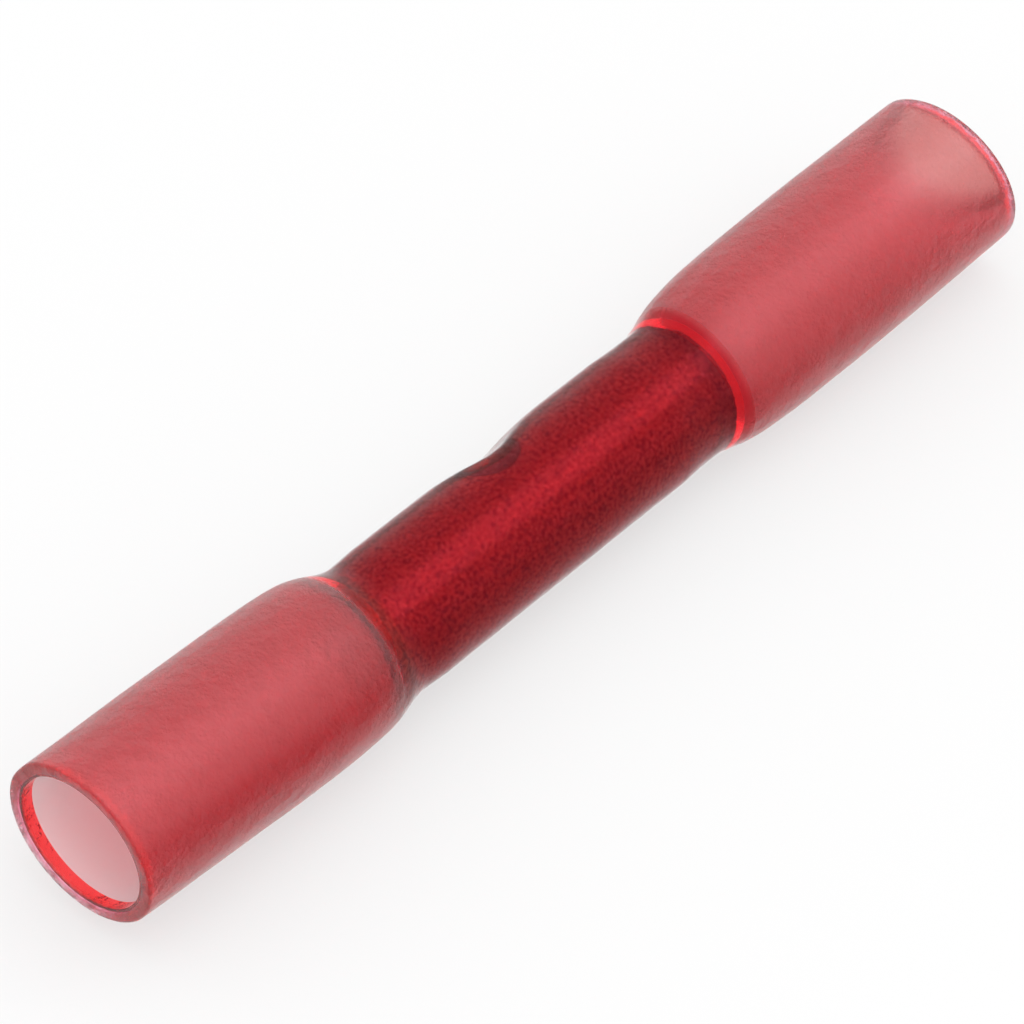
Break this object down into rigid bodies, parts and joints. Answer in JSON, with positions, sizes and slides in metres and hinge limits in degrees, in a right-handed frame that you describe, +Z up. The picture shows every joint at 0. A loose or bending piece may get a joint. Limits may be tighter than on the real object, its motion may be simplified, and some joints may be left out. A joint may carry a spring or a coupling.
{
  "type": "heat-shrink butt connector",
  "caption": "Heat-shrink butt connector: a crimp barrel with a wire stop in the shrunk waist of a translucent red sleeve whose wider tube ends are open for the wires.",
  "frame": {"origin": "on the surface that the connector lies on, under the middle of its outline", "axes": "+X along the connector to its far mouth, +Z up from the surface, +Y to the side where the wire stop is punched"},
  "size_m": [0.0376, 0.0056, 0.0061],
  "materials": {
    "sleeve": "translucent red heat-shrink, slightly wrinkled satin",
    "adhesive_lining": "milky hot-melt film",
    "barrel": "bright tin plating on copper"
  },
  "bodies": {
    "root": {"sleeve": "sleeve", "adhesive_lining": "adhesive_lining", "barrel": "barrel"}
  },
  "joints": []
}
